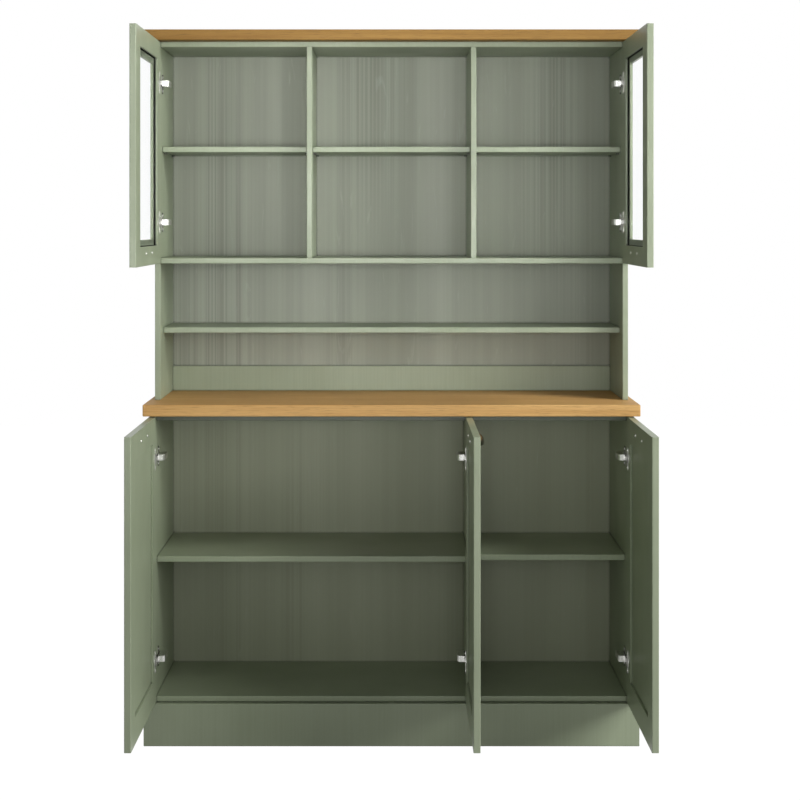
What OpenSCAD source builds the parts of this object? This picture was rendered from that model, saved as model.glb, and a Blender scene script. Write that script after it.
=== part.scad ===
// Painted highboard in two units: a panelled base cupboard on a plinth and a glazed upper cupboard.
// Origin: on the floor, at the middle of the width and of the worktop's depth. Front is -Y, up is +Z.
// The five doors stand open by door_open degrees, as the object is shown.

/* [Base unit] */
// Width of the worktop and of the plinth
worktop_w = 1400; // [1300:10:1700]
// Depth of the worktop, from its front edge to the wall
worktop_d = 425; // [405:5:500]
// Thickness of the worktop
worktop_t = 33; // [25:1:40]
// Worktop beyond each side of the base unit
worktop_side_overhang = 17; // [17:1:30]
// Worktop beyond the front edges of the base unit
worktop_front_overhang = 40; // [36:1:60]
// Height of the plinth
plinth_h = 120; // [80:5:150]
// Plinth front behind the front edge of the worktop
plinth_setback = 20; // [10:1:20]
// Height of the sides of the base unit
base_h = 813; // [780:1:900]
// Thickness of all carcass boards
board_t = 16; // [16:1:19]
// Depth of the flat rails under the worktop
top_rail_d = 80; // [60:5:120]
// Clear height below the shelves of the base unit
base_shelf_h = 378; // [330:1:420]
// Wide shelf's front edge behind the base unit's front
wide_shelf_setback = 12; // [5:1:60]
// Narrow shelf's front edge behind the base unit's front
narrow_shelf_setback = 36; // [5:1:60]
// Seam between two back sheets, left of the middle
back_seam_offset = 214; // [150:1:300]

/* [Upper unit] */
// Depth of the upper unit
upper_d = 300; // [280:5:340]
// Height of the upper unit's sides, from the worktop to the top board
upper_h = 1035; // [1000:1:1100]
// Clear height of the open bay above the worktop
open_bay_h = 394; // [360:1:420]
// Underside of the open shelf above the worktop
open_shelf_h = 190; // [150:1:230]
// Open shelf's front edge behind the upper unit's front
open_shelf_setback = 60; // [20:5:120]
// Underside of the shelves above the glazed part's bottom panel
upper_shelf_h = 307; // [270:1:330]
// Their front edges behind the upper unit's front
upper_shelf_setback = 40; // [10:1:60]
// Height of the rear rail on the worktop
rear_rail_h = 75; // [50:1:110]
// Thickness of the top board
top_board_t = 30; // [20:1:40]
// Top board beyond each side of the upper unit
top_board_side_overhang = 27; // [10:1:40]
// Top board beyond the front edges of the upper unit
top_board_front_overhang = 45; // [30:1:60]

/* [Back sheets] */
// Thickness of the back sheets
back_t = 3; // [3:0.5:6]
// Back sheets in front of the rear edges
back_inset = 17; // [10:1:25]
// Depth of the groove that holds a back sheet
back_groove = 6; // [4:1:8]

/* [Doors] */
// Opening angle at which the doors stand
door_open = 90; // [0:5:90]
// Gap between neighbouring doors
door_gap = 4; // [4:0.5:5]
// Gap above and below a door
door_end_gap = 3; // [2:0.5:4]
// Carcass edge left uncovered beside a door
door_reveal = 1; // [1:0.5:2]
// Gap behind a closed door
closed_gap = 2.5; // [2.5:0.5:4]
// Width of the stiles and rails
frame_w = 70; // [64:1:80]
// Width of a glazed door's rails down to the rebate
glazed_rail_w = 52; // [48:1:60]
// Thickness of the door panels
panel_t = 6; // [4:1:8]
// Depth of the groove that holds a panel
panel_groove = 8; // [6:1:10]
// Width of the rebate for a pane
rebate_w = 18; // [12:1:20]
// Thickness of the lip in front of a pane
lip_t = 7.5; // [6:0.5:8]
// Thickness of the panes
glass_t = 4; // [3:0.5:5]

/* [Hinges] */
// Hinge centre from the upper or lower end of a door
hinge_inset = 118; // [90:1:160]
// Length of the arm behind the carcass front
arm_reach = 64; // [58:1:80]
// Width of the arm
arm_w = 17; // [15:1:19]
// Height of the arm above its plate
arm_h = 19.5; // [18:0.5:22]
// Height of the cup's screw flange
flange_h = 64; // [58:1:70]
// Height of the mounting plate
plate_h = 56; // [50:1:60]

/* [Cup pulls] */
// Width of a pull
pull_w = 150; // [144:1:160]
// Reach of a pull from the door
pull_reach = 22; // [20:1:24]
// Straight skirt below the dome
pull_skirt = 5; // [3:1:8]
// Wall of the pull
pull_wall = 2; // [1.5:0.25:2.5]
// Distance between the two screws of a pull
pull_screws = 112; // [96:1:114]
// Screws from the nearest end of the door
pull_inset = 33; // [30:1:38]

/* [Hidden] */
$fn = 48;

sage = "#8f9a80";
sheet_green = "#828a78";
oak = "#c79a5c";
nickel = "#c9cac6";
pewter = "#77756e";
seal_black = "#1b1c1b";
pane_tint = [0.8, 0.88, 0.86, 0.35];

// Clearances: a sheet's faces and its edge in a groove, a loose shelf, a screw or cup in its hole
groove_fit = 0.1;
tongue_fit = 0.3;
shelf_fit = 0.5;
hole_fit = 0.1;
seam_fit = 0.1;
// Running clearance of a hinge pin in its knuckle, on the radius
pin_fit = 0.05;
// Clearance of a plate's rail inside the arm
rail_fit = 0.2;
// Overshoot of a cut past the face it opens
cut = 1;

// Places of the two units
back_y = worktop_d / 2;
worktop_front = -worktop_d / 2;
base_front = worktop_front + worktop_front_overhang;
upper_front = back_y - upper_d;
back_face = back_y - back_inset - back_t;
side_out = worktop_w / 2 - worktop_side_overhang;
side_in = side_out - board_t;
plinth_front_y = worktop_front + plinth_setback;
base_top = plinth_h + base_h;
worktop_top = base_top + worktop_t;
upper_top_z = worktop_top + upper_h;
base_floor = plinth_h + board_t;
glazed_z = worktop_top + open_bay_h;
glazed_floor = glazed_z + board_t;

// Doors: three of one width side by side, the middle bay of the upper unit left open
door_t = 18;
door_ease = 2;
door_w = (2 * side_out - 2 * door_reveal - 2 * door_gap) / 3;
first_edge = door_reveal - side_out;
middle_edge = first_edge + door_w + door_gap;
right_edge = middle_edge + door_w + door_gap;
partition_left = right_edge - door_gap / 2 - board_t / 2;
partition_right = partition_left + board_t;
divider_in = right_edge - door_reveal;
divider_out = divider_in + board_t;
base_door_z = plinth_h + door_end_gap;
base_door_h = base_h - 2 * door_end_gap;
upper_door_z = glazed_z + door_reveal;
upper_door_h = upper_top_z - door_end_gap - upper_door_z;

// Shelves and their pins
base_shelf_z = base_floor + base_shelf_h;
upper_shelf_z = glazed_floor + upper_shelf_h;
shelf_pin_r = 2.45;
shelf_pin_hole_r = shelf_pin_r + pin_fit;
shelf_pin_in = 7;
shelf_pin_out = 9;
shelf_pin_end = 0.2;
shelf_pin_inset = 37;

// Seen from a hinge pin, u runs along the closed door to its free edge and v to the back
pin_from_edge = 7.5;
pin_from_face = 9;
pin_from_carcass = pin_from_face + closed_gap;
outer_v = pin_from_face - door_t;
door_u = -pin_from_edge;

// Cup of a concealed hinge: 35 mm bore, 3 mm from the door's edge
cup_r = 17.5;
cup_depth = 13;
cup_wall = 1;
cup_u = 3 + cup_r - pin_from_edge;
flange_t = 1;
flange_w = 18;
flange_corner = 4;
flange_screw_z = 24;
flange_screw_u = 4;
small_head_r = 3.3;
small_head_t = 0.8;
pin_r = 1.2;

// Swan-neck arm
knuckle_r = 2.4;
knuckle_w = 10;
leg_t = 3;
neck_u = pin_from_face + closed_gap;
arm_front = pin_from_carcass + 2;
arm_back = pin_from_carcass + arm_reach;
arm_top = neck_u + arm_h;
arm_skin = 1.5;
arm_slope_u = 5;
arm_slope_v = 5;
arm_nose = 10;
arm_screws = [arm_front + 20, arm_back - 12];
arm_screw_r = 3;
arm_screw_sink = 0.4;

// Mounting plate
plate_t = 2;
plate_w = 18;
plate_corner = 5;
plate_v = pin_from_carcass + 37;
bed_front = pin_from_carcass + 16;
bed_l = 40;
rail_h = 12;
plate_screw_z = plate_h / 2 - 8;

// Cup pulls: seen in their own frame with x along the door, y up and z away from the door
// Its outline from above is an arc whose centre lies pull_centre behind the door's face
pull_drop = pull_reach + pull_skirt;
pull_centre = (pull_w * pull_w / 4 - pull_reach * pull_reach) / (2 * pull_reach);
pull_arc = acos(pull_centre / (pull_centre + pull_reach)) + 4;
pull_screw_y = 12;
post_r = 4.5;
post_screw_l = 5;
screw_r = 2;
screw_head_r = 4;
screw_head_t = 1.6;

// Rim of the seal round a pane
seal_t = 1.5;
seal_w = 10;
seal_edge = 1;
lip_v = outer_v + lip_t;
glass_v = lip_v + seal_t;

function is_left(door) = door == "base_left" || door == "upper_left";
function is_upper(door) = door == "upper_left" || door == "upper_right";
function hinge_edge(door) =
    is_left(door) ? first_edge : door == "base_middle" ? middle_edge + door_w : right_edge + door_w;
function pin_x(door) = hinge_edge(door) + (is_left(door) ? pin_from_edge : -pin_from_edge);
function pin_y(door) = (is_upper(door) ? upper_front : base_front) - pin_from_carcass;
function door_z(door) = is_upper(door) ? upper_door_z : base_door_z;
function door_h(door) = is_upper(door) ? upper_door_h : base_door_h;
function hinge_z(door) = [door_z(door) + hinge_inset, door_z(door) + door_h(door) - hinge_inset];
function pull_z(door) =
    is_upper(door) ? door_z(door) + pull_inset : door_z(door) + door_h(door) - pull_inset;
// Along u from the pin to the board that carries the hinge
function board_u(door) =
    door == "base_middle" ? board_t / 2 - door_gap / 2 - pin_from_edge
    : board_t - door_reveal - pin_from_edge;
DOORS = ["base_left", "base_middle", "base_right", "upper_left", "upper_right"];

// A board given by its lowest corner and its size
module board(corner, size) {
    translate(corner) cube(size);
}

// Flat rectangle with rounded corners
module rounded(w, h, r) {
    translate([r, 0]) square([w - 2 * r, h]);
    translate([0, r]) square([w, h - 2 * r]);
    for (x = [r, w - r], y = [r, h - r])
        translate([x, y]) circle(r = r);
}

// Puts what is drawn about a door's pin in its place, still as for a closed door
module at_pin(door) {
    translate([pin_x(door), pin_y(door), 0])
        mirror([is_left(door) ? 0 : 1, 0, 0]) children();
}

// The same, swung open with the door
module at_door(door) {
    at_pin(door) rotate([0, 0, -door_open]) children();
}

// Round bar along v, from v upwards
module along_v(u, v, z, r, l) {
    translate([u, v, z]) rotate([-90, 0, 0]) cylinder(r = r, h = l);
}

// Round bar along u
module along_u(u, v, z, r, l) {
    translate([u, v, z]) rotate([0, 90, 0]) cylinder(r = r, h = l);
}

module plinth_front() {
    color(sage) board([-worktop_w / 2, plinth_front_y, 0], [worktop_w, board_t, plinth_h]);
}

module plinth_side(left) {
    front = plinth_front_y + board_t;
    color(sage) board([left ? -worktop_w / 2 : worktop_w / 2 - board_t, front, 0],
                      [board_t, back_y - front, plinth_h]);
}

module plinth_rear() {
    color(sage) board([board_t - worktop_w / 2, back_y - board_t, 0],
                      [worktop_w - 2 * board_t, board_t, plinth_h]);
}

// Board from front to back inside the plinth that carries the base unit
module plinth_bearer(x) {
    front = plinth_front_y + board_t;
    color(sage) board([x, front, 0], [board_t, back_y - board_t - front, plinth_h]);
}

// Rows of shelf pins in one bay: a pin stands out of each of the two boards, front and rear
module shelf_pin_rows(x0, x1, front, shelf_z, r, in, out) {
    for (y = [front + shelf_pin_inset, back_face - shelf_pin_inset]) {
        along_u(x0 - in, y, shelf_z - shelf_pin_r, r, in + out);
        along_u(x1 - out, y, shelf_z - shelf_pin_r, r, in + out);
    }
}

// All shelf pins, drawn as pins or as their holes
module all_shelf_pins(r, in, out) {
    base_front_wide = base_front + wide_shelf_setback;
    base_front_narrow = base_front + narrow_shelf_setback;
    upper_shelf_front = upper_front + upper_shelf_setback;
    shelf_pin_rows(-side_in, partition_left, base_front_wide, base_shelf_z, r, in, out);
    shelf_pin_rows(partition_right, side_in, base_front_narrow, base_shelf_z, r, in, out);
    shelf_pin_rows(-side_in, -divider_out, upper_shelf_front, upper_shelf_z, r, in, out);
    shelf_pin_rows(-divider_in, divider_in, upper_shelf_front, upper_shelf_z, r, in, out);
    shelf_pin_rows(divider_out, side_in, upper_shelf_front, upper_shelf_z, r, in, out);
}

module shelf_pins() {
    color(nickel) all_shelf_pins(shelf_pin_r, shelf_pin_in, shelf_pin_out);
}

module shelf_pin_holes() {
    all_shelf_pins(shelf_pin_hole_r, shelf_pin_in + shelf_pin_end, cut);
}

// Side of a unit, with its groove for the back sheet
module unit_side(left, front, z, h) {
    x = left ? -side_out : side_in;
    groove_x = left ? -side_in - back_groove : side_in - cut;
    color(sage) difference() {
        board([x, front, z], [board_t, back_y - front, h]);
        board([groove_x, back_face - groove_fit, z - cut],
              [back_groove + cut, back_t + 2 * groove_fit, h + 2 * cut]);
        shelf_pin_holes();
    }
}

module base_side(left) {
    unit_side(left, base_front, plinth_h, base_h);
}

module upper_side(left) {
    unit_side(left, upper_front, worktop_top, upper_h);
}

// Upright board between two bays
module upright(x, front, z0, z1) {
    color(sage) difference() {
        board([x, front, z0], [board_t, back_face - front, z1 - z0]);
        shelf_pin_holes();
    }
}

// Board from side to side
module cross_board(front, rear, z) {
    color(sage) board([-side_in, front, z], [2 * side_in, rear - front, board_t]);
}

// Loose shelf between two uprights
module loose_shelf(x0, x1, front, z) {
    color(sage) board([x0 + shelf_fit, front, z],
                      [x1 - x0 - 2 * shelf_fit, back_face - shelf_fit - front, board_t]);
}

module base_partition() {
    upright(partition_left, base_front, base_floor, base_top - board_t);
}

module base_bottom() {
    cross_board(base_front, back_face, plinth_h);
}

module base_top_rail_front() {
    cross_board(base_front, base_front + top_rail_d, base_top - board_t);
}

module base_top_rail_rear() {
    cross_board(back_face - top_rail_d, back_face, base_top - board_t);
}

module base_shelf_wide() {
    loose_shelf(-side_in, partition_left, base_front + wide_shelf_setback, base_shelf_z);
}

module base_shelf_narrow() {
    loose_shelf(partition_right, side_in, base_front + narrow_shelf_setback, base_shelf_z);
}

// Back sheet between two x places
module back_sheet(x0, x1, z, h) {
    color(sheet_green) board([x0, back_face, z], [x1 - x0, back_t, h]);
}

sheet_end = side_in + back_groove - tongue_fit;
left_seam = -back_seam_offset;
right_seam = (partition_left + partition_right) / 2;

module base_back_left() {
    back_sheet(-sheet_end, left_seam - seam_fit / 2, plinth_h, base_h);
}

module base_back_middle() {
    back_sheet(left_seam + seam_fit / 2, right_seam - seam_fit / 2, plinth_h, base_h);
}

module base_back_right() {
    back_sheet(right_seam + seam_fit / 2, sheet_end, plinth_h, base_h);
}

module worktop() {
    color(oak) board([-worktop_w / 2, worktop_front, base_top], [worktop_w, worktop_d, worktop_t]);
}

module upper_top() {
    cross_board(upper_front, back_face, upper_top_z - board_t);
}

module upper_bottom() {
    cross_board(upper_front, back_face, glazed_z);
}

module upper_divider(left) {
    upright(left ? -divider_out : divider_in, upper_front, glazed_floor, upper_top_z - board_t);
}

module upper_shelf(x0, x1) {
    loose_shelf(x0, x1, upper_front + upper_shelf_setback, upper_shelf_z);
}

module open_shelf() {
    cross_board(upper_front + open_shelf_setback, back_face, worktop_top + open_shelf_h);
}

module upper_back() {
    back_sheet(-sheet_end, sheet_end, worktop_top, upper_h);
}

module upper_rear_rail() {
    color(sage) board([-side_in, back_face - board_t, worktop_top],
                      [2 * side_in, board_t, rear_rail_h]);
}

module top_board() {
    front = upper_front - top_board_front_overhang;
    half = side_out + top_board_side_overhang;
    color(oak) board([-half, front, upper_top_z], [2 * half, back_y - front, top_board_t]);
}

// Plate on the carcass: wings with two screws, a bed under the arm and a rail inside it
module hinge_plate(z, u) {
    rail_w = arm_w - 2 * (arm_skin + rail_fit);
    translate([u, plate_v - plate_w / 2, z + plate_h / 2])
        rotate([0, 90, 0]) linear_extrude(height = plate_t) rounded(plate_h, plate_w, plate_corner);
    for (dz = [-plate_screw_z, plate_screw_z])
        along_u(u, plate_v, z + dz, small_head_r, plate_t + small_head_t);
    board([u, bed_front, z - arm_w / 2], [neck_u - u, bed_l, arm_w]);
    board([u, bed_front, z - rail_w / 2], [neck_u - u + rail_h, bed_l, rail_w]);
    for (v = arm_screws)
        along_u(neck_u, v, z, arm_screw_r, arm_h - arm_screw_sink);
}

module hinge_plates() {
    for (door = DOORS, z = hinge_z(door))
        color(nickel) at_pin(door) hinge_plate(z, board_u(door));
}

// Arm: knuckle on the pin, swan neck out of the cup and a channel along the board
module hinge_arm(z) {
    translate([0, 0, z]) difference() {
        union() {
            translate([0, 0, -knuckle_w / 2]) cylinder(r = knuckle_r, h = knuckle_w);
            board([0, -leg_t / 2, -knuckle_w / 2], [neck_u + leg_t, leg_t, knuckle_w]);
            board([neck_u, -leg_t / 2, -knuckle_w / 2], [leg_t, arm_front + leg_t, knuckle_w]);
            translate([0, 0, -arm_w / 2]) linear_extrude(height = arm_w) polygon([
                [neck_u, arm_front],
                [arm_top - arm_slope_u, arm_front],
                [arm_top, arm_front + arm_slope_v],
                [arm_top, arm_back],
                [neck_u, arm_back]
            ]);
        }
        translate([0, 0, -knuckle_w / 2 - cut]) cylinder(r = pin_r + pin_fit, h = knuckle_w + 2 * cut);
        board([neck_u - cut, arm_front + arm_nose, arm_skin - arm_w / 2],
              [arm_h - arm_skin + cut, arm_back - arm_front - arm_nose + cut, arm_w - 2 * arm_skin]);
        for (v = arm_screws)
            along_u(arm_top - arm_skin - cut, v, 0, arm_screw_r + hole_fit, arm_skin + 2 * cut);
    }
}

module hinge_arms() {
    for (door = DOORS, z = hinge_z(door))
        color(nickel) at_pin(door) hinge_arm(z);
}

// Cup with its screw flange and the pin across it
module hinge_cup(z) {
    floor_v = pin_from_face - cup_depth;
    translate([0, 0, z]) {
        difference() {
            union() {
                along_v(cup_u, floor_v, 0, cup_r, cup_depth + flange_t);
                translate([cup_u - flange_w / 2, pin_from_face, flange_h / 2])
                    rotate([-90, 0, 0]) linear_extrude(height = flange_t)
                        rounded(flange_w, flange_h, flange_corner);
                for (dz = [-flange_screw_z, flange_screw_z])
                    along_v(cup_u + flange_screw_u, pin_from_face, dz,
                            small_head_r, flange_t + small_head_t);
            }
            along_v(cup_u, floor_v + cup_wall, 0, cup_r - cup_wall, cup_depth + flange_t);
        }
        intersection() {
            translate([0, 0, -cup_r]) cylinder(r = pin_r, h = 2 * cup_r);
            along_v(cup_u, floor_v, 0, cup_r - cup_wall / 2, cup_depth);
        }
    }
}

module hinge_cups(door) {
    for (z = hinge_z(door))
        color(nickel) at_door(door) hinge_cup(z);
}

// Full door blank with eased upright edges
module door_blank(door) {
    translate([door_u, outer_v, door_z(door)]) linear_extrude(height = door_h(door))
        rounded(door_w, door_t, door_ease);
}

// Block inside the door's outline: in from the stiles' and the rails' edges, from v0 to v1
module inside(door, stile, rail, v0, v1) {
    board([door_u + stile, v0, door_z(door) + rail],
          [door_w - 2 * stile, v1 - v0, door_h(door) - 2 * rail]);
}

// Bores for the cups and holes for the pull's screws
module door_drilling(door) {
    for (z = hinge_z(door))
        along_v(cup_u, pin_from_face - cup_depth - hole_fit, z, cup_r + hole_fit,
                cup_depth + hole_fit + cut);
    for (s = [-1, 1])
        along_v(door_u + door_w / 2 + s * pull_screws / 2, outer_v - cut, pull_z(door),
                screw_r + hole_fit, door_t + 2 * cut);
}

panel_v = pin_from_face - (door_t + panel_t) / 2;

module panel_frame(door) {
    groove = frame_w - panel_groove;
    color(sage) at_door(door) difference() {
        door_blank(door);
        inside(door, frame_w, frame_w, outer_v - cut, pin_from_face + cut);
        inside(door, groove, groove, panel_v - groove_fit, panel_v + panel_t + groove_fit);
        door_drilling(door);
    }
}

module door_panel(door) {
    edge = frame_w - panel_groove + tongue_fit;
    color(sage) at_door(door) inside(door, edge, edge, panel_v, panel_v + panel_t);
}

module glazed_frame(door) {
    color(sage) at_door(door) difference() {
        door_blank(door);
        inside(door, frame_w + rebate_w, glazed_rail_w + rebate_w, outer_v - cut, pin_from_face + cut);
        inside(door, frame_w, glazed_rail_w, lip_v, pin_from_face + cut);
        door_drilling(door);
    }
}

module door_seal(door) {
    color(seal_black) at_door(door) difference() {
        inside(door, frame_w, glazed_rail_w, lip_v, glass_v + glass_t);
        inside(door, frame_w + seal_w, glazed_rail_w + seal_w, lip_v - cut, glass_v + glass_t + cut);
        inside(door, frame_w + seal_edge, glazed_rail_w + seal_edge, glass_v, glass_v + glass_t + cut);
    }
}

module door_glass(door) {
    color(pane_tint) at_door(door)
        inside(door, frame_w + seal_edge, glazed_rail_w + seal_edge, glass_v, glass_v + glass_t);
}

// Section of a pull, reach to the right and height upwards: skirt and quarter round, solid down to the door
module pull_section() {
    square([pull_reach, pull_skirt]);
    translate([0, pull_skirt]) intersection() {
        circle(r = pull_reach);
        square([pull_reach, pull_reach]);
    }
}

module pull_shell_section() {
    difference() {
        pull_section();
        translate([-cut, -cut]) square([pull_reach - pull_wall + cut, pull_skirt + cut]);
        translate([0, pull_skirt]) circle(r = pull_reach - pull_wall);
    }
}

// Turns a section along the pull's arc and keeps what stands out from the door
module pull_turned() {
    intersection() {
        translate([0, 0, -pull_centre]) rotate([-90, 0, 0]) rotate([0, 0, -90 - pull_arc])
            rotate_extrude(angle = 2 * pull_arc) translate([pull_centre, 0]) children();
        translate([-pull_w, -cut, 0]) cube([2 * pull_w, pull_drop + 2 * cut, pull_reach + cut]);
    }
}

// Whole pull: shell, two posts and their screws, with the heads behind the door
module pull_shape() {
    pull_turned() pull_shell_section();
    for (x = [-pull_screws / 2, pull_screws / 2]) {
        intersection() {
            pull_turned() pull_section();
            translate([x, pull_screw_y, 0]) cylinder(r = post_r, h = pull_reach);
        }
        translate([x, pull_screw_y, -door_t]) cylinder(r = screw_r, h = door_t + post_screw_l);
        translate([x, pull_screw_y, -door_t - screw_head_t]) cylinder(r = screw_head_r, h = screw_head_t);
    }
}

module pull(door) {
    color(pewter) at_door(door)
        translate([door_u + door_w / 2, outer_v, pull_z(door) - pull_screw_y]) rotate([90, 0, 0])
            pull_shape();
}

plinth_front();
plinth_side(true);  // plinth_side_left
plinth_side(false);  // plinth_side_right
plinth_rear();
plinth_bearer(board_t - worktop_w / 2);  // plinth_bearer_left
plinth_bearer(-board_t / 2);  // plinth_bearer_middle
plinth_bearer(worktop_w / 2 - 2 * board_t);  // plinth_bearer_right
base_side(true);  // base_side_left
base_side(false);  // base_side_right
base_partition();
base_bottom();
base_top_rail_front();
base_top_rail_rear();
base_shelf_wide();
base_shelf_narrow();
base_back_left();
base_back_middle();
base_back_right();
worktop();
upper_side(true);  // upper_side_left
upper_side(false);  // upper_side_right
upper_top();
upper_bottom();
upper_divider(true);  // upper_divider_left
upper_divider(false);  // upper_divider_right
upper_shelf(-side_in, -divider_out);  // upper_shelf_left
upper_shelf(-divider_in, divider_in);  // upper_shelf_middle
upper_shelf(divider_out, side_in);  // upper_shelf_right
open_shelf();
upper_back();
upper_rear_rail();
top_board();
shelf_pins();
hinge_plates();
hinge_arms();
panel_frame("base_left");  // base_left_frame
door_panel("base_left");  // base_left_panel
hinge_cups("base_left");  // base_left_hinge_cups
pull("base_left");  // base_left_pull
panel_frame("base_middle");  // base_middle_frame
door_panel("base_middle");  // base_middle_panel
hinge_cups("base_middle");  // base_middle_hinge_cups
pull("base_middle");  // base_middle_pull
panel_frame("base_right");  // base_right_frame
door_panel("base_right");  // base_right_panel
hinge_cups("base_right");  // base_right_hinge_cups
pull("base_right");  // base_right_pull
glazed_frame("upper_left");  // upper_left_frame
door_glass("upper_left");  // upper_left_glass
door_seal("upper_left");  // upper_left_seal
hinge_cups("upper_left");  // upper_left_hinge_cups
pull("upper_left");  // upper_left_pull
glazed_frame("upper_right");  // upper_right_frame
door_glass("upper_right");  // upper_right_glass
door_seal("upper_right");  // upper_right_seal
hinge_cups("upper_right");  // upper_right_hinge_cups
pull("upper_right");  // upper_right_pull
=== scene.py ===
"""Looks of a painted highboard: eased boards, oak tops, nickel hinges, cup pulls and a studio."""

from __future__ import annotations

import logging
import math
from dataclasses import dataclass
from enum import Enum
from typing import Any

import bmesh
import bpy
from mathutils import Matrix, Vector


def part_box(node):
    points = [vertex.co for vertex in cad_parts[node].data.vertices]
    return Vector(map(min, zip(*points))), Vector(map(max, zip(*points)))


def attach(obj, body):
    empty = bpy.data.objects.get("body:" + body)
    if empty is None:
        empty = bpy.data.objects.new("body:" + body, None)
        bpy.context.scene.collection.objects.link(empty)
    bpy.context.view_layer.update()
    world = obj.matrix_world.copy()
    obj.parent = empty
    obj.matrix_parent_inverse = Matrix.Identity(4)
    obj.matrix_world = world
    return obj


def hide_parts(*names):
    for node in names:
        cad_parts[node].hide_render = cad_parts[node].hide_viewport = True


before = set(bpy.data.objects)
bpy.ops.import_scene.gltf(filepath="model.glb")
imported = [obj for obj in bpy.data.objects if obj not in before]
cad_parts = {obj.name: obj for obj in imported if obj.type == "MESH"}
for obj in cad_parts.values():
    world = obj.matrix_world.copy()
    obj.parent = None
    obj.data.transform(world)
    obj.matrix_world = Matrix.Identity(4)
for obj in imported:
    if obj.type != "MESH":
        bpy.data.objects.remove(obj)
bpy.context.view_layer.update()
LOG = logging.getLogger("highboard")
MM = 0.001
# Vertices this near, in metres, are one, and faces that turn less than this lie in one plane
SAME_PLACE = 1e-6
SAME_PLANE = math.radians(0.5)


class Hand(Enum):
    """Side on which a door hangs: the sign turns the hinge's own frame to the cabinet's."""

    LEFT = 1
    RIGHT = -1


class Level(Enum):
    """Unit that a door belongs to."""

    BASE = "base"
    UPPER = "upper"


def linear(hex_colour: str) -> tuple[float, float, float, float]:
    """Turns an sRGB hex colour to linear light.

    Args:
        hex_colour: six hex digits.

    Returns:
        Red, green, blue and full opacity, as Blender's sockets take them.
    """
    parts = [int(hex_colour[i : i + 2], 16) / 255 for i in (0, 2, 4)]
    red, green, blue = (c / 12.92 if c <= 0.04045 else ((c + 0.055) / 1.055) ** 2.4 for c in parts)
    return red, green, blue, 1.0


def feed(node: bpy.types.Node, inputs: dict[str | int, Any]) -> None:
    """Sets or links a node's inputs.

    Args:
        node: the node that is fed.
        inputs: socket name or number to a value, an output, or a node that gives its first output.
    """
    for socket, value in inputs.items():
        source = value.outputs[0] if isinstance(value, bpy.types.Node) else value
        if isinstance(source, bpy.types.NodeSocket):
            node.id_data.links.new(source, node.inputs[socket])
        else:
            node.inputs[socket].default_value = source


def add(
    tree: bpy.types.NodeTree, kind: str, inputs: dict[str | int, Any] | None = None, **settings: Any
) -> bpy.types.Node:
    """Adds one node with its settings and links.

    Args:
        tree: the material's or world's node tree.
        kind: the node's Blender type.
        inputs: what goes to its sockets, as feed takes it.
        settings: properties of the node itself.

    Returns:
        The new node.
    """
    node = tree.nodes.new(kind)
    for name, value in settings.items():
        setattr(node, name, value)
    feed(node, inputs or {})
    return node


def new_material(name: str) -> tuple[bpy.types.Material, bpy.types.NodeTree, bpy.types.Node]:
    """Starts a material.

    Args:
        name: the real material's name.

    Returns:
        The material, its node tree and its shader.
    """
    material = bpy.data.materials.new(name)
    material.use_nodes = True
    tree = material.node_tree
    return material, tree, tree.nodes["Principled BSDF"]


@dataclass(frozen=True)
class Noise:
    """Noise laid over a piece, with spots that are as long as the real ones along x, y and z."""

    sizes_mm: tuple[float, float, float]
    detail: float
    roughness: float = 0.5
    distortion: float = 0.0
    offset: tuple[float, float, float] = (0.0, 0.0, 0.0)

    def lay(self, tree: bpy.types.NodeTree) -> bpy.types.Node:
        """Adds the pattern to a material.

        Args:
            tree: the material's node tree.

        Returns:
            The noise, whose first output is its factor.
        """
        place = add(tree, "ShaderNodeTexCoord").outputs["Object"]
        scale = tuple(1 / (size * MM) for size in self.sizes_mm)
        laid = add(tree, "ShaderNodeMapping", {"Vector": place, "Scale": scale, "Location": self.offset})
        spots = {"Scale": 1.0, "Detail": self.detail, "Roughness": self.roughness}
        return add(tree, "ShaderNodeTexNoise", {"Vector": laid, **spots, "Distortion": self.distortion})


@dataclass(frozen=True)
class Band:
    """Part of a pattern's range, and the values that its two ends become."""

    low: float
    high: float
    start: float = 0.0
    end: float = 1.0

    @property
    def inputs(self) -> dict[str, float]:
        """The band as Map Range takes it."""
        return {"From Min": self.low, "From Max": self.high, "To Min": self.start, "To Max": self.end}


@dataclass(frozen=True)
class Relief:
    """How strongly a pattern stands out of a surface, and how high in metres."""

    strength: float
    height: float

    @property
    def inputs(self) -> dict[str, float]:
        """The relief as Bump takes it."""
        return {"Strength": self.strength, "Distance": self.height}


@dataclass(frozen=True)
class PaintedJointShade:
    """Painted shade: a thin dark line where one board meets the next, darker the nearer other surfaces
    come.
    """

    colour: str = "2c3026"
    reach_mm: float = 7.0
    rays: int = 4
    shares: Band = Band(0.45, 0.8, 0.6, 0.0)

    def drawn_on(self, tree: bpy.types.NodeTree, coat: bpy.types.Node) -> bpy.types.Node:
        """Paints shade into a coat beside other boards.

        Args:
            tree: the material's node tree.
            coat: the coat's colour.

        Returns:
            The coat with its painted shade lines.
        """
        reach = {"Distance": self.reach_mm * MM}
        free = add(tree, "ShaderNodeAmbientOcclusion", reach, samples=self.rays).outputs["AO"]
        share = add(tree, "ShaderNodeMapRange", {"Value": free, **self.shares.inputs})
        return add(tree, "ShaderNodeMixRGB", {"Fac": share, "Color1": coat, "Color2": linear(self.colour)})


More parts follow.
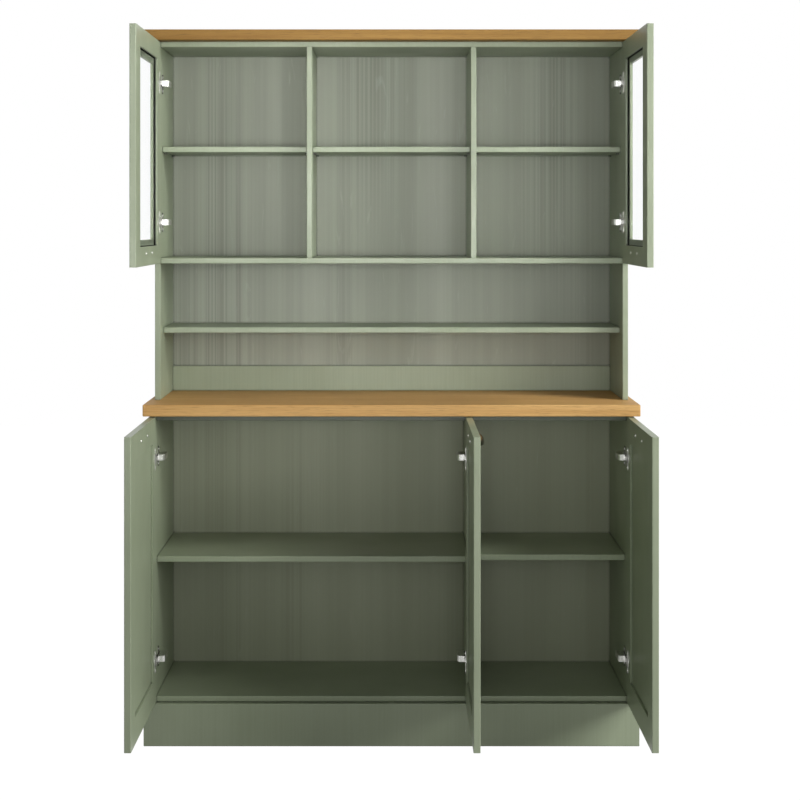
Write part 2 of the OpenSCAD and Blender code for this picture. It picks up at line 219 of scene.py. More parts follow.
@dataclass(frozen=True)
class SatinPaint:
    """Water-based satin paint rolled and sprayed on fibreboard."""

    name: str
    colour: str
    shade: str
    stroke: str = "6f7a5e"
    ior: float = 1.48
    mottle: Noise = Noise((260.0, 260.0, 260.0), detail=2.0)
    tones: Band = Band(0.35, 0.65)
    gloss: Band = Band(0.3, 0.7, 0.43, 0.33)
    strokes: Noise = Noise((5.0, 5.0, 260.0), detail=3.0)
    stroke_shares: Band = Band(0.35, 0.65, 0.0, 0.1)
    stipple: Noise = Noise((2.4, 2.4, 2.4), detail=3.0)
    relief: Relief = Relief(0.12, 0.0002)
    joint_shade: PaintedJointShade = PaintedJointShade()

    def make(self) -> bpy.types.Material:
        """Makes the material.

        Returns:
            A soft green that varies a little over a board, with the fine stipple of a sprayed coat.
        """
        material, tree, shader = new_material(self.name)
        # A sprayed satin coat: an even, slightly chalky green that glints only along its edges
        mottle = self.mottle.lay(tree)
        tone = add(tree, "ShaderNodeMapRange", {"Value": mottle, **self.tones.inputs})
        greens = {"Color1": linear(self.shade), "Color2": linear(self.colour)}
        coat = add(tree, "ShaderNodeMixRGB", {"Fac": tone, **greens})
        # Faint upright lines where the coat was laid off
        strokes = self.strokes.lay(tree)
        share = add(tree, "ShaderNodeMapRange", {"Value": strokes, **self.stroke_shares.inputs})
        laid_off = {"Fac": share, "Color1": coat, "Color2": linear(self.stroke)}
        worked = add(tree, "ShaderNodeMixRGB", laid_off)
        # The real stipple is under 1 mm; it is drawn coarser so that it still shows
        stipple = self.stipple.lay(tree)
        bump = add(tree, "ShaderNodeBump", {"Height": stipple, **self.relief.inputs})
        gloss = add(tree, "ShaderNodeMapRange", {"Value": mottle, **self.gloss.inputs})
        # Painted shade darkens the coat where boards meet
        feed(shader, {"Base Color": self.joint_shade.drawn_on(tree, worked), "Normal": bump})
        feed(shader, {"Roughness": gloss, "IOR": self.ior})
        return material


@dataclass(frozen=True)
class PaintedVeneer:
    """Thin veneered sheet with one coat of paint, so that the grain still shows."""

    name: str
    light: str
    dark: str
    bloom: str
    pore: str
    ior: float = 1.48
    leaves: Noise = Noise((95.0, 900.0, 5200.0), detail=3.0, roughness=0.6)
    tones: Band = Band(0.34, 0.66)
    gloss: Band = Band(0.3, 0.7, 0.58, 0.46)
    rings: Noise = Noise((6.5, 900.0, 4550.0), detail=1.5, offset=(1.0, 0.0, 2.0))
    stripes: Band = Band(0.42, 0.62)
    patches: Noise = Noise((210.0, 900.0, 1890.0), detail=1.0, offset=(9.0, 0.0, 3.0))
    grain_shares: Band = Band(0.5, 0.66, 0.05, 0.45)
    wisps: Noise = Noise((34.0, 900.0, 240.0), 4.0, roughness=0.6, distortion=1.8, offset=(2.0, 0.0, 5.0))
    wisp_shares: Band = Band(0.62, 0.8, 0.0, 0.4)
    relief: Relief = Relief(0.15, 0.0002)
    joint_shade: PaintedJointShade = PaintedJointShade()

    def make(self) -> bpy.types.Material:
        """Makes the material.

        Returns:
            A grey green with broad upright bands, fine lines in patches and pale wisps.
        """
        material, tree, shader = new_material(self.name)
        # Thin paint on an open-grained face: broad tones run up the sheet, one to a veneer leaf
        leaves = self.leaves.lay(tree)
        tone = add(tree, "ShaderNodeMapRange", {"Value": leaves, **self.tones.inputs})
        greys = {"Color1": linear(self.dark), "Color2": linear(self.light)}
        coat = add(tree, "ShaderNodeMixRGB", {"Fac": tone, **greys})
        # Straight stripes, one to a year ring, run the whole height where the grain stayed open
        rings, patches = self.rings.lay(tree), self.patches.lay(tree)
        stripes = add(tree, "ShaderNodeMapRange", {"Value": rings, **self.stripes.inputs})
        open_share = add(tree, "ShaderNodeMapRange", {"Value": patches, **self.grain_shares.inputs})
        grain = add(tree, "ShaderNodeMath", {0: open_share, 1: stripes}, operation="MULTIPLY")
        lined = {"Fac": grain, "Color1": coat, "Color2": linear(self.pore)}
        grained = add(tree, "ShaderNodeMixRGB", lined)
        # A few pale wisps where the coat was wiped
        wisps = self.wisps.lay(tree)
        share = add(tree, "ShaderNodeMapRange", {"Value": wisps, **self.wisp_shares.inputs})
        wiped = {"Fac": share, "Color1": grained, "Color2": linear(self.bloom)}
        veiled = add(tree, "ShaderNodeMixRGB", wiped)
        bump = add(tree, "ShaderNodeBump", {"Height": grain, **self.relief.inputs}, invert=True)
        gloss = add(tree, "ShaderNodeMapRange", {"Value": leaves, **self.gloss.inputs})
        # Painted shade darkens the sheet where boards meet
        feed(shader, {"Base Color": self.joint_shade.drawn_on(tree, veiled), "Normal": bump})
        feed(shader, {"Roughness": gloss, "IOR": self.ior})
        return material


@dataclass(frozen=True)
class OiledOak:
    """Solid oak, planed and oiled, with its grain along the board."""

    name: str
    pale: str
    warm: str
    pore: str
    ior: float = 1.42
    bands: Noise = Noise((620.0, 9.0, 9.0), detail=5.0, roughness=0.6, distortion=0.8)
    tones: Band = Band(0.34, 0.64)
    gloss: Band = Band(0.3, 0.7, 0.66, 0.54)
    staves: Noise = Noise((900.0, 62.0, 62.0), detail=2.0, offset=(3.0, 1.0, 2.0))
    stave_shares: Band = Band(0.4, 0.66, 0.0, 0.4)
    pores: Noise = Noise((38.0, 1.5, 1.5), detail=3.0)
    pore_shares: Band = Band(0.54, 0.72, 0.0, 0.6)
    relief: Relief = Relief(0.3, 0.0002)

    def make(self) -> bpy.types.Material:
        """Makes the material.

        Returns:
            Honey-coloured oak with long rings, slow changes from stave to stave and short dark pores.
        """
        material, tree, shader = new_material(self.name)
        # Oiled oak: broad honey bands that follow the year rings along the board
        bands = self.bands.lay(tree)
        tone = add(tree, "ShaderNodeMapRange", {"Value": bands, **self.tones.inputs})
        browns = {"Color1": linear(self.warm), "Color2": linear(self.pale)}
        wood = add(tree, "ShaderNodeMixRGB", {"Fac": tone, **browns})
        # Slow change of tone from one glued stave to the next
        staves = self.staves.lay(tree)
        stave_share = add(tree, "ShaderNodeMapRange", {"Value": staves, **self.stave_shares.inputs})
        glued = {"Fac": stave_share, "Color1": wood, "Color2": linear(self.warm)}
        toned = add(tree, "ShaderNodeMixRGB", glued)
        # Open pores: dark dashes along the grain, drawn a little wider than the real 0.3 mm to show
        pores = self.pores.lay(tree)
        pore_share = add(tree, "ShaderNodeMapRange", {"Value": pores, **self.pore_shares.inputs})
        dashed = {"Fac": pore_share, "Color1": toned, "Color2": linear(self.pore)}
        planed = add(tree, "ShaderNodeMixRGB", dashed)
        bump = add(tree, "ShaderNodeBump", {"Height": pores, **self.relief.inputs}, invert=True)
        gloss = add(tree, "ShaderNodeMapRange", {"Value": bands, **self.gloss.inputs})
        feed(shader, {"Base Color": planed, "Normal": bump, "Roughness": gloss, "IOR": self.ior})
        return material


@dataclass(frozen=True)
class PlatedMetal:
    """Metal part with a plated surface, polished or brushed."""

    name: str
    colour: str
    roughness: float
    unevenness: float = 0.2
    grain: Noise = Noise((1.2, 1.2, 1.2), detail=2.0)

    def make(self) -> bpy.types.Material:
        """Makes the material.

        Returns:
            A metal whose gloss wavers a little from its finishing.
        """
        material, tree, shader = new_material(self.name)
        # Barrel-plated pressings and castings: bright, with a gloss that is a touch uneven
        low, high = self.roughness * (1 - self.unevenness), self.roughness * (1 + self.unevenness)
        wavering = {"Value": self.grain.lay(tree), "To Min": low, "To Max": high}
        gloss = add(tree, "ShaderNodeMapRange", wavering)
        feed(shader, {"Base Color": linear(self.colour), "Metallic": 1.0, "Roughness": gloss})
        return material


@dataclass(frozen=True)
class FloatGlass:
    """Clear float glass pane."""

    name: str = "float_glass"
    colour: str = "feffff"
    ior: float = 1.008
    wave: Noise = Noise((330.0, 330.0, 330.0), detail=1.0)
    relief: Relief = Relief(0.02, 0.0005)

    def make(self) -> bpy.types.Material:
        """Makes the material.

        Returns:
            Clear, all but colourless glass.
        """
        material, tree, shader = new_material(self.name)
        # Float glass: near colourless, with the faint waviness that only a reflection shows
        bump = add(tree, "ShaderNodeBump", {"Height": self.wave.lay(tree), **self.relief.inputs})
        feed(shader, {"Base Color": linear(self.colour), "Normal": bump})
        # Real glass has 1.52, but the photographed panes show no gloss even at a grazing look
        feed(shader, {"Transmission Weight": 1.0, "Roughness": 0.0, "IOR": self.ior})
        return material


@dataclass(frozen=True)
class BlackSeal:
    """Extruded black rubber."""

    name: str = "black_rubber"
    colour: str = "161716"
    dust: str = "262725"
    roughness: float = 0.7
    grain: Noise = Noise((0.8, 0.8, 0.8), detail=2.0)
    dusting: Band = Band(0.4, 0.8)
    relief: Relief = Relief(0.1, 0.0001)

    def make(self) -> bpy.types.Material:
        """Makes the material.

        Returns:
            Matt black with a fine grain.
        """
        material, tree, shader = new_material(self.name)
        # Extruded rubber: matt, a little dusty
        grain = self.grain.lay(tree)
        bump = add(tree, "ShaderNodeBump", {"Height": grain, **self.relief.inputs})
        dusty = add(tree, "ShaderNodeMapRange", {"Value": grain, **self.dusting.inputs})
        blacks = {"Color1": linear(self.colour), "Color2": linear(self.dust)}
        rubber = add(tree, "ShaderNodeMixRGB", {"Fac": dusty, **blacks})
        feed(shader, {"Base Color": rubber, "Normal": bump, "Roughness": self.roughness})
        return material


class Finishes:
    """All finishes of the highboard, made once."""

    def __init__(self) -> None:
        """Makes every material."""
        self.paint = SatinPaint("satin_paint_sage", "9aa48a", "939d83").make()
        # The rail under the worktop gets a dark green that is painted shade
        self.rail_painted_shade = SatinPaint("satin_paint_rail_painted_shade", "4c5443", "464e3d").make()
        self.sheet = PaintedVeneer("painted_veneer_sage", "a0a494", "8f9384", "b8bbae", "6c7064").make()
        # The base's sheets took the paint more evenly than the upper one
        even = Band(0.5, 0.66, 0.05, 0.25)
        self.base_sheet = PaintedVeneer(
            "painted_veneer_sage_base", "a1a68f", "979c85", "adb19d", "7a806b", grain_shares=even
        ).make()
        # Two copies of one oak: the worktop's is lighter, painted light for a top that the lamps leave dim,
        # and the top board's darker, painted shade against the strong lamp light on it
        self.worktop = OiledOak("oiled_oak_worktop_painted_light", "d3a96b", "c19355", "916c38").make()
        self.top_board = OiledOak("oiled_oak_top_board_painted_shade", "9c7635", "886328", "5a3e19").make()
        self.nickel = PlatedMetal("nickel_plated_steel", "dededa", 0.28).make()
        # The mounting plates get a darker copy of the nickel, which is painted shade
        self.plate = PlatedMetal("nickel_plated_casting_painted_shade", "84847f", 0.2).make()
        # Shelf pins: zinc-plated steel darkened with painted shade, so that they sink into the shadow under
        # the shelves
        self.pin_painted_shade = PlatedMetal("zinc_plated_steel_painted_shade", "6f716a", 0.5).make()
        self.pewter = PlatedMetal("dark_pewter", "8f8c85", 0.24).make()
        self.glass = FloatGlass().make()
        self.seal = BlackSeal().make()


def dress(piece: bpy.types.Object, material: bpy.types.Material) -> None:
    """Gives a piece or a CAD node one material.

    Args:
        piece: the object.
        material: its finish.
    """
    piece.data.materials.clear()
    piece.data.materials.append(material)


def merged_copy(node: str) -> bmesh.types.BMesh:
    """Copies a CAD node's mesh.

    Args:
        node: the CAD node.

    Returns:
        The copy, with its loose triangles joined.
    """
    shape = bmesh.new()
    shape.from_mesh(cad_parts[node].data)
    bmesh.ops.remove_doubles(shape, verts=shape.verts, dist=SAME_PLACE)
    return shape


def finish_piece(
    name: str, shape: bmesh.types.BMesh, body: str, material: bpy.types.Material
) -> bpy.types.Object:
    """Turns a bmesh into a piece of the highboard.

    Args:
        name: the piece's name.
        shape: its mesh, which is freed.
        body: the CAD body that it moves with.
        material: its finish.

    Returns:
        The new object.
    """
    mesh = bpy.data.meshes.new(name)
    shape.to_mesh(mesh)
    shape.free()
    piece = bpy.data.objects.new(name, mesh)
    bpy.context.scene.collection.objects.link(piece)
    dress(piece, material)
    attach(piece, body)
    LOG.info("%s: %d faces on %s", name, len(mesh.polygons), body)
    return piece


@dataclass(frozen=True)
class Easing:
    """How the sharp edges of a part are eased: its width, the shortest edge, and the least corner."""

    width_mm: float
    least_mm: float = 12.0
    corner_deg: float = 50.0
    segments: int = 3

    def takes(self, edge: bmesh.types.BMEdge) -> bool:
        """Tells whether an edge is eased.

        Args:
            edge: an edge of the mesh.

        Returns:
            True for a long and sharp one.
        """
        if len(edge.link_faces) != 2 or edge.calc_length() <= self.least_mm * MM:
            return False
        return edge.calc_face_angle() > math.radians(self.corner_deg)

    def replace(self, node: str, body: str, slot: str, material: bpy.types.Material) -> None:
        """Makes an eased copy of a CAD node and shows it instead.

        Args:
            node: the CAD node.
            body: its body.
            slot: the record's material slot; not used.
            material: its finish.
        """
        shape = merged_copy(node)
        bmesh.ops.dissolve_limit(shape, angle_limit=SAME_PLANE, verts=shape.verts, edges=shape.edges)
        bmesh.ops.bevel(
            shape,
            geom=[edge for edge in shape.edges if self.takes(edge)],
            offset=self.width_mm * MM,
            offset_type="OFFSET",
            segments=self.segments,
            profile=0.5,
            affect="EDGES",
            material=-1,
            clamp_overlap=True,
        )
        piece = finish_piece(f"{node}_eased", shape, body, material)
        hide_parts(node)


@dataclass(frozen=True)
class CrossHead:
    """Domed screw head with a cross recess; its shares are of the radius or the height."""

    radius_mm: float
    height_mm: float
    crown: float = 0.8
    cross_reach: float = 0.52
    cross_half_width: float = 0.15
    cross_depth: float = 0.7
    dome: float = 0.55
    sides: int = 20

    def drive(self, shape: bmesh.types.BMesh, place: Matrix) -> None:
        """Adds the head to a mesh.

        Args:
            shape: the mesh that takes it.
            place: turns the head's own frame, with its axis along z and its seat at 0, to its place.
        """
        radius, height = self.radius_mm * MM, self.height_mm * MM
        crown = {"cap_ends": False, "radius": radius * self.crown, "segments": self.sides}
        rim = bmesh.ops.create_circle(shape, **crown)["verts"]
        outer = list(dict.fromkeys(edge for vert in rim for edge in vert.link_edges))
        inner = self.cross(shape)
        ring = [shape.edges.new(pair) for pair in zip(inner, inner[1:] + inner[:1])]
        top = bmesh.ops.triangle_fill(shape, edges=outer + ring, use_beauty=True)["geom"]
        faces = [face for face in top if isinstance(face, bmesh.types.BMFace)]
        recess = [face for face in faces if all(vert in inner for vert in face.verts)]
        bmesh.ops.delete(shape, geom=recess, context="FACES_ONLY")
        floor = self.lowered(shape, ring, height * self.cross_depth)
        bmesh.ops.contextual_create(shape, geom=floor)
        low = self.lowered(shape, outer, height * self.dome)
        bmesh.ops.scale(shape, verts=low, vec=(1 / self.crown, 1 / self.crown, 1.0))
        hanging = dict.fromkeys(edge for vert in low for edge in vert.link_edges)
        brim = [edge for edge in hanging if all(vert in low for vert in edge.verts)]
        seat = self.lowered(shape, brim, height * (1 - self.dome))
        bmesh.ops.contextual_create(shape, geom=seat)
        every = list(dict.fromkeys(rim + inner + floor + low + seat))
        skin = list(dict.fromkeys(face for vert in every for face in vert.link_faces))
        bmesh.ops.recalc_face_normals(shape, faces=skin)
        bmesh.ops.transform(shape, matrix=place @ Matrix.Translation((0, 0, height)), verts=every)

    def cross(self, shape: bmesh.types.BMesh) -> list[bmesh.types.BMVert]:
        """Adds the corners of the cross recess.

        Args:
            shape: the mesh that takes them.

        Returns:
            The twelve corners in order.
        """
        far, near = (self.radius_mm * MM * share for share in (self.cross_reach, self.cross_half_width))
        arm = ((far, -near), (far, near), (near, near))
        turns = [Matrix.Rotation(math.radians(90 * quarter), 2) for quarter in range(4)]
        corners = [turn @ Vector(corner) for turn in turns for corner in arm]
        return [shape.verts.new((*corner, 0.0)) for corner in corners]

    def lowered(
        self, shape: bmesh.types.BMesh, edges: list[bmesh.types.BMEdge], drop: float
    ) -> list[bmesh.types.BMVert]:
        """Extrudes a ring of edges downwards.

        Args:
            shape: the mesh.
            edges: the ring.
            drop: how far, in metres.

        Returns:
            The new vertices.
        """
        grown = bmesh.ops.extrude_edge_only(shape, edges=edges)["geom"]
        verts = [vert for vert in grown if isinstance(vert, bmesh.types.BMVert)]
        bmesh.ops.translate(shape, verts=verts, vec=(0, 0, -drop))
        return verts


@dataclass
class Carcass:
    """Plinth, base unit and upper unit with their boards, sheets and oak tops."""

    finishes: Finishes
    board_easing: Easing = Easing(1.4)
    oak_easing: Easing = Easing(2.5)
    painted: tuple[str, ...] = (
        "plinth_front", "plinth_side_left", "plinth_side_right",
        "base_side_left", "base_side_right", "base_partition", "base_bottom",
        "base_shelf_wide", "base_shelf_narrow",
        "upper_side_left", "upper_side_right", "upper_top", "upper_bottom",
        "upper_divider_left", "upper_divider_right",
        "upper_shelf_left", "upper_shelf_middle", "upper_shelf_right", "open_shelf", "upper_rear_rail",
    )
    plain: tuple[str, ...] = (
        "plinth_rear", "plinth_bearer_left", "plinth_bearer_middle", "plinth_bearer_right",
        "base_top_rail_rear",
    )
    base_sheets: tuple[str, ...] = ("base_back_left", "base_back_middle", "base_back_right")

    def build(self) -> None:
        """Eases the shown boards and dresses the rest."""
        for node in self.painted:
            self.board_easing.replace(node, "cabinet", "paint", self.finishes.paint)
        # The photograph doesn't show the rail under the worktop, so its paint is as dark as the shade there
        self.board_easing.replace("base_top_rail_front", "cabinet", "paint", self.finishes.rail_painted_shade)
        for node in self.plain:
            dress(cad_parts[node], self.finishes.paint)
        for node in self.base_sheets:
            dress(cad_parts[node], self.finishes.base_sheet)
        dress(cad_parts["upper_back"], self.finishes.sheet)
        self.oak_easing.replace("worktop", "cabinet", "oak", self.finishes.worktop)
        self.oak_easing.replace("top_board", "cabinet", "oak", self.finishes.top_board)
        # The shelf pins wear a dark grey that is painted shade
        dress(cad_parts["shelf_pins"], self.finishes.pin_painted_shade)


@dataclass
class HingePlace:
    """Where a door's two hinges sit, in the hinge's own frame.

    Seen from the pin, u runs along the closed door to its free edge and v to the back of the cabinet.
    """

    hand: Hand
    level: Level
    pin_x_mm: float
    pin_y_mm: float
    base_heights_mm: tuple[float, float] = (241.0, 812.0)
    upper_heights_mm: tuple[float, float] = (1479.0, 1880.0)

    @property
    def heights_mm(self) -> tuple[float, float]:
        """Heights of the two hinges."""
        return self.base_heights_mm if self.level is Level.BASE else self.upper_heights_mm

    def turn(self) -> Matrix:
        """Turn that points a screw's axis away from what it is driven into."""
        return Matrix.Rotation(math.radians(90 * self.hand.value), 4, "Y")

    def on_carcass(self, u: float, v: float, z: float) -> Matrix:
        """Places a screw on the carcass.

        Args:
            u: along the closed door, in mm.
            v: to the back, in mm.
            z: height, in mm.

        Returns:
            The matrix for a screw head.
        """
        place = Vector((self.pin_x_mm + self.hand.value * u, self.pin_y_mm + v, z)) * MM
        return Matrix.Translation(place) @ self.turn()

    def on_door(self, u: float, v: float, z: float) -> Matrix:
        """Places a screw on the door as it stands open at rest.

        Args:
            u: along the door from the pin, in mm.
            v: out of the door's inner side, in mm.
            z: height, in mm.

        Returns:
            The matrix for a screw head.
        """
        place = Vector((self.pin_x_mm + self.hand.value * v, self.pin_y_mm - u, z)) * MM
        return Matrix.Translation(place) @ self.turn()


@dataclass
class Door:
    """One door with its frame, filling, hinge cups and pull."""

    finishes: Finishes
    name: str
    hinges: HingePlace
    easing: Easing = Easing(2.2, least_mm=100.0)
    flange_top_mm: float = 10.0
    flange_screw_u_mm: float = 17.0
    flange_screw_z_mm: float = 24.0
    cup_head: CrossHead = CrossHead(3.4, 1.1)
    pull_head: CrossHead = CrossHead(4.3, 1.9)
    pull_head_seat_mm: float = 1.7
    pull_screw_from_middle_mm: float = 56.0
    pull_screw_z_mm: float = 12.0

    @property
    def body(self) -> str:
        """Body that the door's pieces ride on."""
        return f"{self.name}_door"

    def filling(self) -> None:
        """Dresses what fills the frame."""
        dress(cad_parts[f"{self.name}_panel"], self.finishes.paint)

    def pull_screws(self) -> None:
        """Puts cross-slotted screw heads over the plain ones behind the pull."""
        low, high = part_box(f"{self.name}_pull")
        sign = self.hinges.hand.value
        inner_x = high[0] if sign > 0 else low[0]
        seat_x = inner_x - sign * self.pull_head_seat_mm * MM
        middle_y, seat_z = (low[1] + high[1]) / 2, low[2] + self.pull_screw_z_mm * MM
        shape = bmesh.new()
        for side in (-1, 1):
            seat = Vector((seat_x, middle_y + side * self.pull_screw_from_middle_mm * MM, seat_z))
            self.pull_head.drive(shape, Matrix.Translation(seat) @ self.hinges.turn())
        finish_piece(f"{self.name}_pull_screw_heads", shape, self.body, self.finishes.nickel)

    def cup_screws(self) -> None:
        """Puts cross-slotted heads on the flanges of the hinge cups."""
        shape = bmesh.new()
        for height in self.hinges.heights_mm:
            for side in (-1, 1):
                z = height + side * self.flange_screw_z_mm
                place = self.hinges.on_door(self.flange_screw_u_mm, self.flange_top_mm, z)
                self.cup_head.drive(shape, place)
        finish_piece(f"{self.name}_cup_screw_heads", shape, self.body, self.finishes.nickel)

    def build(self) -> None:
        """Eases and dresses the door."""
        self.easing.replace(f"{self.name}_frame", self.body, "paint", self.finishes.paint)
        self.filling()
        dress(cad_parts[f"{self.name}_hinge_cups"], self.finishes.nickel)
        self.cup_screws()
        dress(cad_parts[f"{self.name}_pull"], self.finishes.pewter)
        self.pull_screws()


@dataclass
class GlazedDoor(Door):
    """Door with a pane in a rebate."""

    bed_mm: float = 10.0
    shown_bed_mm: float = 2.2
    same_level_mm: float = 0.1

    def seal(self) -> None:
        """Makes the seal with a slimmer bed, so that the pane shows as little of it as the photograph."""
        node = f"{self.name}_seal"
        low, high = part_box(node)
        shape = merged_copy(node)
        slimmer = (self.bed_mm - self.shown_bed_mm) * MM
        for axis in (1, 2):
            for edge, inwards in ((low[axis], 1), (high[axis], -1)):
                inner = edge + inwards * self.bed_mm * MM
                near = self.same_level_mm * MM
                rim = [vert for vert in shape.verts if abs(vert.co[axis] - inner) < near]
                shift = Vector((0.0, 0.0, 0.0))
                shift[axis] = -inwards * slimmer
                bmesh.ops.translate(shape, verts=rim, vec=shift)
        bmesh.ops.dissolve_limit(shape, angle_limit=SAME_PLANE, verts=shape.verts, edges=shape.edges)
        piece = finish_piece(f"{node}_rim", shape, self.body, self.finishes.seal)
        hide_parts(node)

    def filling(self) -> None:
        """Dresses the pane and fits its seal."""
        dress(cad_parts[f"{self.name}_glass"], self.finishes.glass)
        self.seal()


@dataclass
class HingeArms:
    """Arms and plates on the carcass with the heads of their screws."""

    finishes: Finishes
    places: tuple[HingePlace, ...]
    easing: Easing = Easing(0.45, least_mm=3.0, corner_deg=40.0)
    side_face_u_mm: float = 7.5
    partition_face_u_mm: float = -1.5
    partition_within_mm: float = 300.0
    plate_head: CrossHead = CrossHead(3.4, 1.1)
    plate_t_mm: float = 2.0
    plate_v_mm: float = 48.5
    plate_screw_z_mm: float = 20.0
    arm_head: CrossHead = CrossHead(2.9, 0.9)
    arm_head_u_mm: float = 30.4
    arm_screws_v_mm: tuple[float, float] = (33.5, 63.5)

    def board_u_mm(self, place: HingePlace) -> float:
        """Face of the board that carries the hinge, from the pin."""
        on_partition = abs(place.pin_x_mm) < self.partition_within_mm
        return self.partition_face_u_mm if on_partition else self.side_face_u_mm

    def build(self) -> None:
        """Dresses the arms and plates and adds their screw heads."""
        # The plates' darker nickel is painted shade
        self.easing.replace("hinge_plates", "cabinet", "nickel", self.finishes.plate)
        self.easing.replace("hinge_arms", "cabinet", "nickel", self.finishes.nickel)
        shape = bmesh.new()
        for place in self.places:
            plate_u = self.board_u_mm(place) + self.plate_t_mm
            for height in place.heights_mm:
                for side in (-1, 1):
                    z = height + side * self.plate_screw_z_mm
                    self.plate_head.drive(shape, place.on_carcass(plate_u, self.plate_v_mm, z))
                for v in self.arm_screws_v_mm:
                    self.arm_head.drive(shape, place.on_carcass(self.arm_head_u_mm, v, height))
        finish_piece("hinge_screw_heads", shape, "cabinet", self.finishes.nickel)


@dataclass(frozen=True)
class Lamp:
    """One softbox: its place, aim, size, power and beam."""

    name: str
    place: tuple[float, float, float]
    aim: tuple[float, float, float]
    size: float
    watts: float
    beam_deg: float = 180.0

    def hang(self) -> None:
        """Hangs the lamp."""
        light = bpy.data.lights.new(f"{self.name}_softbox", "AREA")
        light.shape = "SQUARE"
        light.size = self.size
        light.energy = self.watts
        light.spread = math.radians(self.beam_deg)
        hung = bpy.data.objects.new(f"{self.name}_softbox", light)
        hung.location = self.place
        hung.rotation_euler = (Vector(self.aim) - Vector(self.place)).to_track_quat("-Z", "Y").to_euler()
        bpy.context.scene.collection.objects.link(hung)


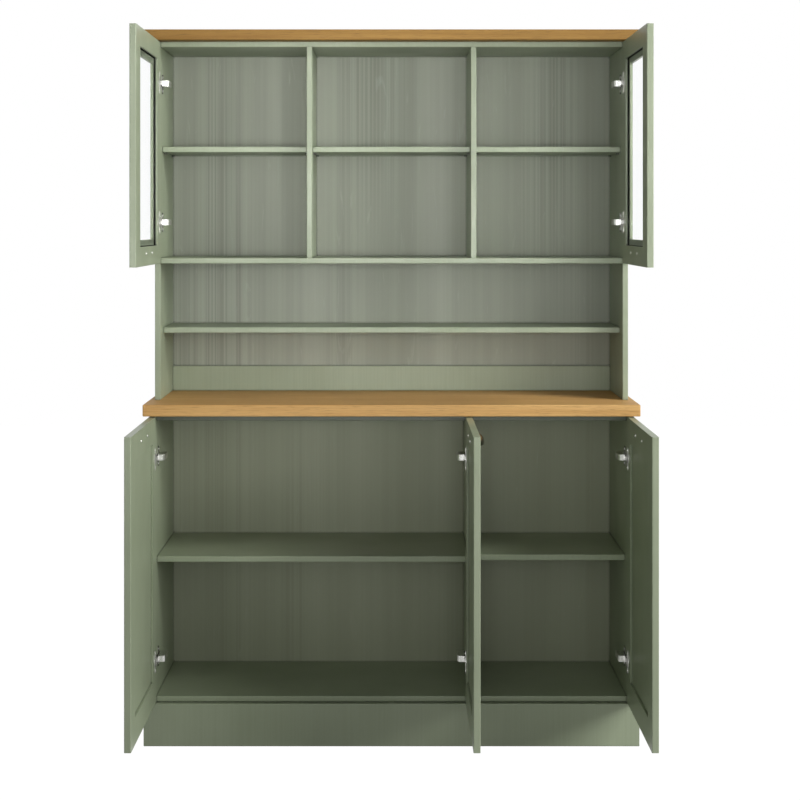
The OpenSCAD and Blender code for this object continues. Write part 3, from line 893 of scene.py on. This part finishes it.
@dataclass
class Studio:
    """Pale floor, white surround, lamps and the camera."""

    lens_mm: float = 73.2
    film_mm: float = 36.0
    eye: tuple[float, float, float] = (0.0, -4.783, 1.4797)
    shift: tuple[float, float] = (0.0106, -0.2224)
    white: str = "ffffff"
    paper: str = "9a9a98"
    floor_half: float = 7.0
    floor_drop: float = 0.0005
    floor_glow: float = 1.17
    floor_share: float = 0.86
    ambient: float = 0.11
    lamps: tuple[Lamp, ...] = (
        Lamp("key_right", (3.6, -3.2, 1.9), (0, 0, 1.2), 1.4, 56.0),
        Lamp("side_right", (4.6, -2.2, 2.4), (0, 0, 1.2), 1.6, 96.0),
        Lamp("high_right", (3.6, -2.0, 4.0), (0, 0, 1.4), 1.6, 103.0),
        Lamp("hard_right", (4.2, -1.9, 4.0), (0, 0, 0.9), 1.0, 19.0),
        Lamp("front", (0.0, -5.6, 2.0), (0, 0, 1.4), 2.0, 17.0),
        Lamp("front_low", (0.3, -5.6, 1.4), (0, 0, 1.4), 1.4, 17.0),
        Lamp("front_left", (-2.6, -5.0, 2.2), (0, 0, 1.4), 1.8, 6.6),
        Lamp("upper_left", (-1.6, -4.9, 1.45), (0, 0, 1.8), 0.8, 0.9, 30.0),
        Lamp("upper_middle", (0.0, -5.0, 1.5), (-0.35, 0, 1.8), 0.8, 1.9, 30.0),
        Lamp("upper_right", (1.6, -4.9, 1.45), (0, 0, 1.8), 0.8, 0.9, 30.0),
    )

    def white_rays(self, tree: bpy.types.NodeTree) -> bpy.types.Node:
        """Picks the rays that see white: the camera's, and those of gloss and glass.

        Args:
            tree: the node tree.

        Returns:
            1 for such a ray, otherwise 0.
        """
        path = add(tree, "ShaderNodeLightPath").outputs
        seen = {0: path["Is Camera Ray"], 1: path["Is Glossy Ray"]}
        camera_or_gloss = add(tree, "ShaderNodeMath", seen, operation="ADD", use_clamp=True)
        through = {0: camera_or_gloss, 1: path["Is Transmission Ray"]}
        return add(tree, "ShaderNodeMath", through, operation="ADD", use_clamp=True)

    def lit_floor(self, tree: bpy.types.NodeTree) -> bpy.types.Node:
        """Picks the floor that light reaches, which is all but the part inside the plinth.

        Args:
            tree: the floor's node tree.

        Returns:
            1 on the open floor, 0 inside the plinth.
        """
        left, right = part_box("plinth_side_left")[1][0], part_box("plinth_side_right")[0][0]
        front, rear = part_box("plinth_front")[1][1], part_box("plinth_rear")[0][1]
        middle = ((left + right) / 2, (front + rear) / 2, 0.0)
        half = ((right - left) / 2, (rear - front) / 2, 0.0)
        place = add(tree, "ShaderNodeTexCoord").outputs["Object"]
        moved = add(tree, "ShaderNodeVectorMath", {0: place, 1: middle}, operation="SUBTRACT")
        apart = add(tree, "ShaderNodeVectorMath", {0: moved}, operation="ABSOLUTE")
        beyond = add(tree, "ShaderNodeVectorMath", {0: apart, 1: half}, operation="SUBTRACT")
        axes = add(tree, "ShaderNodeSeparateXYZ", {"Vector": beyond}).outputs
        furthest = add(tree, "ShaderNodeMath", {0: axes["X"], 1: axes["Y"]}, operation="MAXIMUM")
        return add(tree, "ShaderNodeMath", {0: furthest, 1: 0.0}, operation="GREATER_THAN")

    def surround(self) -> None:
        """Makes the white world: plain light for the object, white for the camera, gloss and glass."""
        world = bpy.data.worlds.new("studio_surround")
        bpy.context.scene.world = world
        world.use_nodes = True
        tree = world.node_tree
        tree.nodes.clear()
        light = add(tree, "ShaderNodeBackground", {"Color": linear(self.white), "Strength": self.ambient})
        white = add(tree, "ShaderNodeBackground", {"Color": linear(self.white), "Strength": 1.0})
        mixed = add(tree, "ShaderNodeMixShader", {0: self.white_rays(tree), 1: light, 2: white})
        add(tree, "ShaderNodeOutputWorld", {"Surface": mixed})

    def paper_white(self) -> bpy.types.Material:
        """Makes the floor's material.

        Returns:
            Matt paper that is white to the camera where no shadow falls.
        """
        # Matt paper: pale enough to show white, and a shadow still darkens it
        material, tree, shader = new_material("white_paper_floor")
        feed(shader, {"Base Color": linear(self.paper), "Roughness": 0.9, "Specular IOR Level": 0.1})
        share = {0: self.white_rays(tree), 1: self.floor_share}
        shown = add(tree, "ShaderNodeMath", share, operation="MULTIPLY")
        part = add(tree, "ShaderNodeMath", {0: shown, 1: self.lit_floor(tree)}, operation="MULTIPLY")
        glow = add(tree, "ShaderNodeEmission", {"Color": linear(self.white), "Strength": self.floor_glow})
        mixed = add(tree, "ShaderNodeMixShader", {0: part, 1: shader, 2: glow})
        feed(tree.nodes["Material Output"], {"Surface": mixed})
        return material

    def floor(self) -> None:
        """Lays the pale floor."""
        shape = bmesh.new()
        bmesh.ops.create_grid(shape, x_segments=1, y_segments=1, size=self.floor_half)
        bmesh.ops.translate(shape, verts=shape.verts, vec=(0, 0, -self.floor_drop))
        mesh = bpy.data.meshes.new("studio_floor")
        shape.to_mesh(mesh)
        shape.free()
        floor = bpy.data.objects.new("studio_floor", mesh)
        bpy.context.scene.collection.objects.link(floor)
        dress(floor, self.paper_white())

    def camera(self) -> None:
        """Sets the camera at the photograph's viewpoint."""
        data = bpy.data.cameras.new("camera")
        data.lens = self.lens_mm
        data.sensor_width = self.film_mm
        data.shift_x, data.shift_y = self.shift
        view = bpy.data.objects.new("camera", data)
        view.location = self.eye
        view.rotation_euler = (math.radians(90), 0, 0)
        bpy.context.scene.collection.objects.link(view)
        bpy.context.scene.camera = view

    def build(self) -> None:
        """Sets up the studio."""
        bpy.context.scene.view_settings.view_transform = "Standard"
        self.surround()
        self.floor()
        for lamp in self.lamps:
            lamp.hang()
        self.camera()


def main() -> None:
    """Builds the highboard's looks in order."""
    logging.basicConfig(level=logging.INFO, format="%(name)s: %(message)s")
    finishes = Finishes()
    places = {
        "base_left": HingePlace(Hand.LEFT, Level.BASE, -674.5, -184.0),
        "base_middle": HingePlace(Hand.RIGHT, Level.BASE, 218.5, -184.0),
        "base_right": HingePlace(Hand.RIGHT, Level.BASE, 674.5, -184.0),
        "upper_left": HingePlace(Hand.LEFT, Level.UPPER, -674.5, -99.0),
        "upper_right": HingePlace(Hand.RIGHT, Level.UPPER, 674.5, -99.0),
    }
    Carcass(finishes).build()
    HingeArms(finishes, tuple(places.values())).build()
    for name, place in places.items():
        kind = Door if place.level is Level.BASE else GlazedDoor
        kind(finishes, name, place).build()
    Studio().build()


if __name__ == "__main__":
    main()
